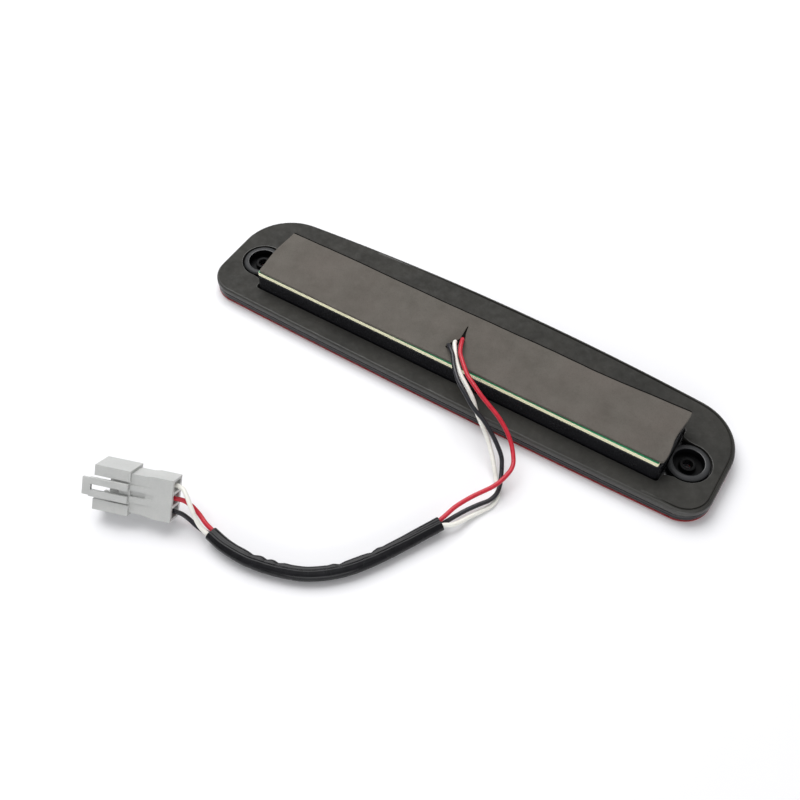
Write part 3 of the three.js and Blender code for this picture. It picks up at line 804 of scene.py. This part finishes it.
def make_gasket(top, side):
    rim = on_lamp([
        (1.85, GASKET_TOP), (1.7, GASKET_TOP), (1.4, GASKET_TOP), (1.2, GASKET_TOP),
        (0.85, 6.46), (0.52, 6.32), (0.25, 6.08), (0.07, 5.75),
        (0, 5.35), (0, 4.3), (0.1, 4.0), (0.35, 3.8),
    ])
    for groove in (1, 2):
        rim[groove] = [(x, y, z - groove_depth(x, y)) for x, y, z in rim[groove]]
    opening = stack(gasket_opening(), [(0.25, GASKET_TOP), (0.08, 6.42), (0, 6.2), (0, 4.0), (0.15, 3.8)])
    mesh_data = plate(rim, [opening])
    for face in mesh_data.faces:
        face.material_index = 0 if face.normal.z > 0.97 else 1
    return add_mesh("gasket_moulding", mesh_data, [top, side], LAMP, "gasket", slot="gasket_rubber")


def make_board(mask, edge):
    half = (84.1, 12.4)
    corner_r = 0.6
    bevel = 0.06
    loop = rounded_rectangle((0, SPINE_Y), half, corner_r, 5, 40)
    rim = stack(loop, [
        (-bevel, BOARD_TOP), (0, BOARD_TOP - bevel), (0, BOARD_BOTTOM + bevel), (-bevel, BOARD_BOTTOM),
    ])
    mesh_data = plate(rim, [])
    for face in mesh_data.faces:
        face.material_index = 0 if abs(face.normal.z) > 0.8 else 1
    return add_mesh("board_laminate", mesh_data, [mask, edge], LAMP, "circuit_board", slot="board")


def edge_lines(low, high, spacing):
    """Grid lines, finer at both ends."""
    fine = (0, 0.08, 0.2, 0.4, 0.7, 1.2)
    count = round((high - low - 2 * fine[-1]) / spacing)
    middle = [low + fine[-1] + (high - low - 2 * fine[-1]) * step / count for step in range(1, count)]
    return [*(low + f for f in fine), *middle, *(high - f for f in reversed(fine))]


def pad_edges(y):
    """Where the foam strip starts and ends at a height along Y: hand-cut, wavy, with rounded corners."""
    left = -84.3 + 0.35 * math.sin(y / 3.4) - 0.02 * (y + 5)
    right = 85.15 + 0.4 * math.cos(2 * math.pi * (y - 4.1) / 17)
    for corner_y, direction, radius in ((PAD_NEAR_Y, 1, 1.3), (PAD_FAR_Y, -1, 0.8)):
        depth = (y - corner_y) * direction
        if depth < radius:
            rounding = radius - math.sqrt(max(radius**2 - (radius - depth) ** 2, 0))
            left += rounding * 0.6
            right -= rounding
    return left, right


# X, Y and half the width along the slit in the foam, widest where the wires come out.
SLIT = [
    (-0.6, 1.1, 0.2), (0.0, -2.6, 0.5), (0.72, -5.2, 0.95), (0.3, -6.8, 1.05),
    (-0.8, -8.6, 1.05), (-1.8, -10.6, 1.05), (-2.45, -11.9, 0.6),
]


def pad_height(x, y, edge):
    """Top of the foam: soft waves, dimples over the solder joints, the slit's lips and a rounded edge."""
    height = PAD_TOP - 0.12
    height += 0.22 * noise.noise(Vector((x / 16, y / 9, 2.7)))
    height += 0.09 * noise.noise(Vector((x / 4.5, y / 4.5, 7.1)))
    for index in range(LED_COUNT):
        for lead in (-LED_LEAD_X, LED_LEAD_X):
            away = ((x - led_x(index) - lead) ** 2 + (y - SPINE_Y) ** 2) / 1.4
            height -= 0.18 * math.exp(-away)
    from_slit = min((Vector((x, y)) - Vector(p[:2])).length - p[2] for p in SLIT)
    if from_slit < 5:
        height -= 0.45 * math.exp(-max(from_slit, 0) / 1.3)
        on_pushed_up_side = x < -0.5 - 0.55 * (y + 8)
        if on_pushed_up_side:
            height += 0.22 * math.exp(-((from_slit - 2.0) / 1.2) ** 2)
    rounding = 0.4
    if edge < rounding:
        height -= 0.3 * (1 - math.sqrt(1 - (1 - edge / rounding) ** 2))
    return height


def near_overhang(x, nearness):
    """How far the strip was stuck on askew: its left half reaches the board's near edge."""
    return 0.55 * progress(x, 14, -26) * nearness**2


def far_edge(x):
    """Where the strip ends along Y: it was cut wider towards its right end."""
    return 7.35 + 0.15 * math.sin(x / 13) + 1.3 * progress(x, 48, 84)


def in_foam_cut_and_shade(face):
    """True where the foam gets its near-black material: in the slit, where the darker cut core also stands
    for painted shade, and along the far edge, as a painted shadow line.
    """
    centre = face.calc_center_median()
    around_slit = abs(centre.x) < 6 and -13 < centre.y < 2
    in_slit = around_slit and PAD_BOTTOM + 0.05 < centre.z < PAD_BOTTOM + 0.45
    # The last 0.75 mm of the far edge, top faces included, is painted shade: a dark shadow line.
    painted_shadow_width = 0.75
    return in_slit or centre.y > far_edge(centre.x) - painted_shadow_width


def on_pad(x, y):
    """Y of a grid point of the strip, whose long edges are wavy and not quite parallel."""
    nearness = (PAD_FAR_Y - y) / (PAD_FAR_Y - PAD_NEAR_Y)
    near_y = y + 0.15 * math.sin(x / 13 + 2) - near_overhang(x, nearness)
    far_y = y - PAD_FAR_Y + far_edge(x)
    return near_y if y < SPINE_Y else near_y + (far_y - near_y) * (y - SPINE_Y) / (PAD_FAR_Y - SPINE_Y)


def make_pad(skin, cut_and_shade):
    spacing = 0.8
    x_lines = edge_lines(0, PAD_LENGTH, spacing)
    y_lines = edge_lines(PAD_NEAR_Y, PAD_FAR_Y, spacing)
    mesh_data = bmesh.new()
    top = []
    bottom = []
    for y in y_lines:
        left, right = pad_edges(y)
        top_row = []
        bottom_row = []
        for line_x in x_lines:
            x = left + (right - left) * line_x / PAD_LENGTH
            real_y = on_pad(x, y)
            edge = min(line_x, PAD_LENGTH - line_x, y - PAD_NEAR_Y, PAD_FAR_Y - y)
            top_row.append(mesh_data.verts.new((x, real_y, pad_height(x, real_y, edge))))
            bottom_row.append(mesh_data.verts.new((x, real_y, PAD_BOTTOM)))
        top.append(top_row)
        bottom.append(bottom_row)
    fill_grid(mesh_data, top)
    fill_grid(mesh_data, bottom)
    bridge(mesh_data, [border(top), border(bottom)])
    bmesh.ops.recalc_face_normals(mesh_data, faces=mesh_data.faces)
    mesh_data = carved(mesh_data, removed=[slit_cutter()])
    for face in mesh_data.faces:
        # Slot 1 is the near-black foam: painted shade in the slit and a painted shadow line on the far edge.
        face.material_index = 1 if in_foam_cut_and_shade(face) else 0
    pad = add_mesh("foam_strip", mesh_data, [skin, cut_and_shade], LAMP, "foam_pad", slot="foam", sharp_degrees=60)
    return pad


def slit_cutter():
    """A prism around the slit and the hole for the wires, which pierce the thin skin left under it."""
    spine = [Vector(p[:2]) for p in SLIT]
    left_side = []
    right_side = []
    for index, (point, half_width) in enumerate(zip(spine, (p[2] for p in SLIT))):
        along = (spine[min(index + 1, len(spine) - 1)] - spine[max(index - 1, 0)]).normalized()
        sideways = Vector((-along.y, along.x))
        left_side.append(point + sideways * half_width)
        right_side.append(point - sideways * half_width)
    skin_left = 0.1
    return prism([*left_side, *reversed(right_side)], PAD_BOTTOM + skin_left, PAD_TOP + 3)


def carved(base, joined=(), removed=()):
    """The base with some solids joined to it and others cut out; every bmesh given is used up."""

    def temporary(solid_data):
        mesh = bpy.data.meshes.new("temporary")
        solid_data.to_mesh(mesh)
        solid_data.free()
        made = bpy.data.objects.new("temporary", mesh)
        bpy.context.collection.objects.link(made)
        return made

    host = temporary(base)
    helpers = []
    for operation, solids in (("UNION", joined), ("DIFFERENCE", removed)):
        for solid in solids:
            step = host.modifiers.new("step", "BOOLEAN")
            step.operation = operation
            step.solver = "EXACT"
            step.object = temporary(solid)
            helpers.append(step.object)
    result = bmesh.new()
    result.from_object(host, bpy.context.evaluated_depsgraph_get())
    for made in (host, *helpers):
        bpy.data.objects.remove(made)
    return result


def soften_edges(mesh_data, width):
    """Merges flat neighbours, then rounds every edge sharper than 35 degrees."""
    bmesh.ops.remove_doubles(mesh_data, verts=mesh_data.verts, dist=0.005)
    bmesh.ops.dissolve_limit(
        mesh_data, angle_limit=math.radians(1), verts=mesh_data.verts, edges=mesh_data.edges,
    )
    sharp = [e for e in mesh_data.edges if len(e.link_faces) == 2 and e.calc_face_angle() > math.radians(35)]
    bmesh.ops.bevel(
        mesh_data, geom=sharp, offset=width, segments=2, profile=0.6, affect="EDGES", clamp_overlap=True,
    )
    return mesh_data


# ---- connector, in its own axes: X from the wire end to the mouth, Y along the pins, Z to the latch ----
CONNECTOR_PLACE = (
    Matrix.Translation(CONNECTOR_ORIGIN)
    @ Matrix.Rotation(CONNECTOR_HEADING, 4, "Z")
    @ Matrix.Rotation(CONNECTOR_ROLL, 4, "X")
)
CONNECTOR_LENGTH = 27.5
HOOD_START = 14.8
REAR_HALF_Z = 3.87
HOOD_HALF_Y = 7.95
HOOD_Z = (-5.27, 4.63)
HOOD_WALL = 1.2
HOOD_GAP_HALF = 4.2
PARTITION = HOOD_START + 1.4
LATCH_SLOT_HALF = 1.05


def block(x, y, z):
    """A box from low to high along each axis."""
    return prism([(x[0], y[0]), (x[1], y[0]), (x[1], y[1]), (x[0], y[1])], *z)


def prism_along_y(outline, low, high):
    """A prism with its outline in X and Z."""
    return plate([[(x, y, z) for x, z in outline] for y in (high, low)], [])


def put_on_connector(mesh_data):
    bmesh.ops.transform(mesh_data, matrix=CONNECTOR_PLACE, verts=mesh_data.verts)
    return mesh_data


def make_connector_housing(material):
    wide, waist = 7.45, 6.95
    side = [(0, wide), (7.2, wide), (9.8, waist), (HOOD_START + 1, waist)]
    rear = prism([*[(x, -y) for x, y in side], *reversed(side)], -REAR_HALF_Z, REAR_HALF_Z)
    hood = block((HOOD_START, CONNECTOR_LENGTH), (-HOOD_HALF_Y, HOOD_HALF_Y), HOOD_Z)
    inner_y = HOOD_HALF_Y - HOOD_WALL
    gap_y = (-HOOD_GAP_HALF, HOOD_GAP_HALF)
    beyond = CONNECTOR_LENGTH + 1
    above = REAR_HALF_Z + 1
    lowered = REAR_HALF_Z - 0.35
    step_down = [
        (6.1, REAR_HALF_Z), (10.4, lowered), (HOOD_START, lowered), (HOOD_START, above), (6.1, above),
    ]
    removed = [
        block((PARTITION, beyond), (-inner_y, inner_y), (HOOD_Z[0] + HOOD_WALL, HOOD_Z[1] - HOOD_WALL)),
        block((HOOD_START - 1, beyond), gap_y, (REAR_HALF_Z, HOOD_Z[1] + 1)),
        block((PARTITION + 2.5, beyond), gap_y, (0, HOOD_Z[1] + 1)),
        block((CONNECTOR_LENGTH - 2, beyond), gap_y, (HOOD_Z[0] - 1, 0)),
        block((9.5, HOOD_START), (-LATCH_SLOT_HALF, LATCH_SLOT_HALF), (REAR_HALF_Z - 0.9, above)),
        block((6.8, 9.6), (-0.8, 0.8), (REAR_HALF_Z - 0.25, above)),
        prism_along_y(step_down, 3.1, 9),
        prism_along_y(step_down, -9, -3.1),
    ]
    cavity = ((-1, HOOD_START), 1.85, 2.5)
    blade_slot = ((PARTITION - 2, PARTITION + 1), 1.45, 0.7)
    for row in (-1, 0, 1):
        y = row * PIN_PITCH
        for x, half_y, half_z in (cavity, blade_slot):
            removed.append(block(x, (y - half_y, y + half_y), (-half_z, half_z)))
    shell = put_on_connector(soften_edges(carved(rear, [hood], removed), 0.16))
    return add_mesh("connector_shell", shell, material, LAMP, "connector_housing", slot="grey_nylon")


def make_latch(material):
    low, high = 4.1, 5.5
    root, tab, tip = 15.1, 28.3, 31.4
    half = 3.35
    arm = block((root, tip), (-half, half), (low, high))
    slot = block((root - 1, tab), (-LATCH_SLOT_HALF, LATCH_SLOT_HALF), (low - 1, high + 1))
    thumb_tab_x = (tab + 0.6, tip + 1)
    inset = 0.25
    lowered = block(thumb_tab_x, (-half - 1, half + 1), (high - 0.3, high + 1))
    narrowed = []
    for side in (-half, half):
        narrowed.append(block(thumb_tab_x, (side - inset, side + inset), (low - 1, high + 1)))
    shell = put_on_connector(soften_edges(carved(arm, [], [slot, lowered, *narrowed]), 0.14))
    return add_mesh("latch_arm_shell", shell, material, LATCH_ARM, "connector_latch", slot="grey_nylon")


def make_terminal(colour, row, material):
    """Insulation crimp, wire crimp, locking box and blade, as one run of changing sections.
    A station gives X, half the width, half the height and how square the section is."""
    insulation_crimp = [
        (2.0, 1.15, 1.15, 2), (2.15, 1.25, 1.25, 2), (4.1, 1.25, 1.25, 2), (4.25, 1.0, 1.0, 2),
    ]
    wire_crimp = [
        (4.6, 0.9, 0.75, 2.4), (4.75, 1.05, 0.9, 2.4), (6.2, 1.05, 0.9, 2.4),
        (6.4, 0.8, 0.6, 3), (7.1, 0.85, 0.6, 3),
    ]
    locking_box = [
        (7.2, 1.4, 1.5, 8), (7.35, 1.45, 1.6, 8), (9.6, 1.45, 1.6, 8), (9.7, 1.3, 1.45, 8),
        (10.6, 1.3, 1.45, 8), (10.7, 1.45, 1.6, 8), (14.2, 1.45, 1.6, 8), (14.4, 1.3, 1.4, 8),
    ]
    blade = [(14.6, 1.1, 0.4, 8), (20.6, 1.1, 0.4, 8), (21.6, 0.75, 0.2, 6)]
    mesh_data = bmesh.new()
    sides = 32
    rings = []
    for x, half_y, half_z, squareness in [*insulation_crimp, *wire_crimp, *locking_box, *blade]:
        ring = []
        for side in range(sides):
            angle = 2 * math.pi * (side + 0.5) / sides
            cosine, sine = math.cos(angle), math.sin(angle)
            reach = (abs(cosine) ** squareness + abs(sine) ** squareness) ** (-1 / squareness)
            y = row * PIN_PITCH + half_y * cosine * reach
            ring.append(mesh_data.verts.new((x, y, half_z * sine * reach)))
        rings.append(ring)
    bridge(mesh_data, rings)
    mesh_data.faces.new(rings[0])
    mesh_data.faces.new(rings[-1])
    bmesh.ops.recalc_face_normals(mesh_data, faces=mesh_data.faces)
    put_on_connector(mesh_data)
    stands_for = f"terminal_{colour}"
    return add_mesh(f"crimp_{colour}", mesh_data, material, LAMP, stands_for, slot="tinned_terminal")


# ---- what the lens covers ----
def make_reflector(material):
    tray_top, tray_bottom = 11.8, 10.8
    throat_r, flare, cup_depth = 3.2, 2.7, 8.6
    tray = rounded_rectangle((0, SPINE_Y), (82.6, 9.9), 1, 5, 40)
    rim = stack(tray, [(-0.1, tray_top), (0, 11.7), (0, 10.9), (-0.1, tray_bottom)])
    cup = [(throat_r, tray_top)]
    for step in range(1, 9):
        depth = step / 8
        cup.append((throat_r + flare * depth**0.6, tray_top - cup_depth * depth))
    cup += [(6.0, 3.2), (6.35, 3.25), (6.5, 3.4), (6.3, 4.5), (5.7, 7.2), (4.9, 9.4), (4.2, tray_bottom)]
    cups = []
    for index in range(LED_COUNT):
        centre = (led_x(index), SPINE_Y)
        cups.append([level(circle(centre, radius, 36), height) for radius, height in cup])
    mesh_data = plate(rim, cups)
    return add_mesh("reflector_tray", mesh_data, material, LAMP, "reflector", slot="chromed_reflector")


def make_led(index, material):
    radius = 2.5
    flange_r = radius + 0.4
    base_top = BOARD_BOTTOM - 0.15
    dome_z = 7.2
    profile = [(radius + 0.25, base_top), (flange_r, base_top - 0.15), (flange_r, base_top - 0.85)]
    profile += [(radius + 0.25, base_top - 1), (radius, base_top - 1.02)]
    for degrees in range(0, 90, 15):
        angle = math.radians(degrees)
        profile.append((radius * math.cos(angle), dome_z - radius * math.sin(angle)))
    profile.append((0.05, dome_z - radius))
    centre = (led_x(index), SPINE_Y)
    rim = [level(circle(centre, r, 28), height) for r, height in profile]
    name = f"led_{index + 1:02d}"
    return add_mesh(f"{name}_epoxy", plate(rim, []), material, LAMP, name, slot="led_epoxy")


# ---- light and floor ----
def make_studio(floor_material):
    mesh = bpy.data.meshes.new("floor")
    reach = 3.0
    height = -0.02 * MM
    corners = [(-reach, -reach), (reach, -reach), (reach, reach), (-reach, reach)]
    mesh.from_pydata(level(corners, height), [], [(0, 1, 2, 3)])
    mesh.materials.append(floor_material)
    floor = bpy.data.objects.new("floor", mesh)
    bpy.context.collection.objects.link(floor)
    world = bpy.data.worlds.new("studio")
    world.use_nodes = True
    sky = world.node_tree
    direction = sky.nodes.new("ShaderNodeTexCoord").outputs["Generated"]
    split = sky.nodes.new("ShaderNodeSeparateXYZ")
    sky.links.new(direction, split.inputs["Vector"])
    ramp = sky.nodes.new("ShaderNodeValToRGB")
    sky.links.new(split.outputs["Z"], ramp.inputs["Fac"])
    glow = ((0.0, 0.05), (0.2, 0.07), (0.36, 0.85), (0.62, 0.4), (0.8, 0.45), (1.0, 1.2))
    set_stops(ramp, [(z, (grey, grey, grey * 1.01)) for z, grey in glow])
    sky.links.new(ramp.outputs["Color"], sky.nodes["Background"].inputs["Color"])
    sky.nodes["Background"].inputs["Strength"].default_value = 0.6
    bpy.context.scene.world = world
    add_softbox("top_softbox", (-0.47, 0.28, 0.94), (1.1, 0.9), 12.2)
    add_softbox("front_softbox", (0.6, -1.0, 0.35), (1.0, 0.5), 4.8)
    bpy.context.scene.view_settings.view_transform = "Standard"


def add_softbox(name, place, size, watts):
    """A rectangular light aimed between the lamp and its tail; everything in metres."""
    target = (0, -0.04, 0)
    data = bpy.data.lights.new(name, "AREA")
    data.shape = "RECTANGLE"
    data.size, data.size_y = size
    data.energy = watts
    lamp = bpy.data.objects.new(name, data)
    lamp.location = place
    lamp.rotation_euler = (Vector(target) - Vector(place)).to_track_quat("-Z", "Y").to_euler()
    bpy.context.collection.objects.link(lamp)


# ---- assembly ----
make_camera()
insulation = {
    "red": wire_insulation("red_insulation", (0.50, 0.010, 0.028), (0.60, 0.020, 0.042)),
    "white": wire_insulation("white_insulation", (0.86, 0.85, 0.78), (0.95, 0.94, 0.88)),
    "black": wire_insulation("black_insulation", (0.009, 0.009, 0.012), (0.018, 0.018, 0.024)),
}
wire_pieces = {colour: make_wire(colour, insulation[colour]) for colour in WIRES}
sleeve, sleeve_route = make_sleeve(sleeve_pvc())

make_lens(lens_plastic())
make_housing(housing_plastic(), boss_rim_plastic(), boss_bore_shaded_plastic())
make_gasket(
    gasket_rubber("gasket_rubber", 0.6, 0.85, 0.3),
    gasket_rubber("gasket_rubber_side", 0.34, 0.5, 0.6),
)
make_board(solder_mask(), laminate_edge())
make_pad(foam_skin(), foam_cut_and_shade())

make_reflector(chrome_coating())
epoxy = led_epoxy()
for index in range(LED_COUNT):
    make_led(index, epoxy)

resin = chip_resin()
for name in [*(f"resistor_{index + 1}" for index in range(4)), "brake_line_diode", "tail_line_diode"]:
    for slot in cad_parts[name].material_slots:
        slot.material = resin

nylon = grey_nylon()
tin = tinned_metal()
connector_pieces = [make_connector_housing(nylon), make_latch(nylon)]
terminal_rows = {"white": -1, "red": 0, "black": 1}
crimps = {colour: make_terminal(colour, row, tin) for colour, row in terminal_rows.items()}
make_studio(studio_floor())
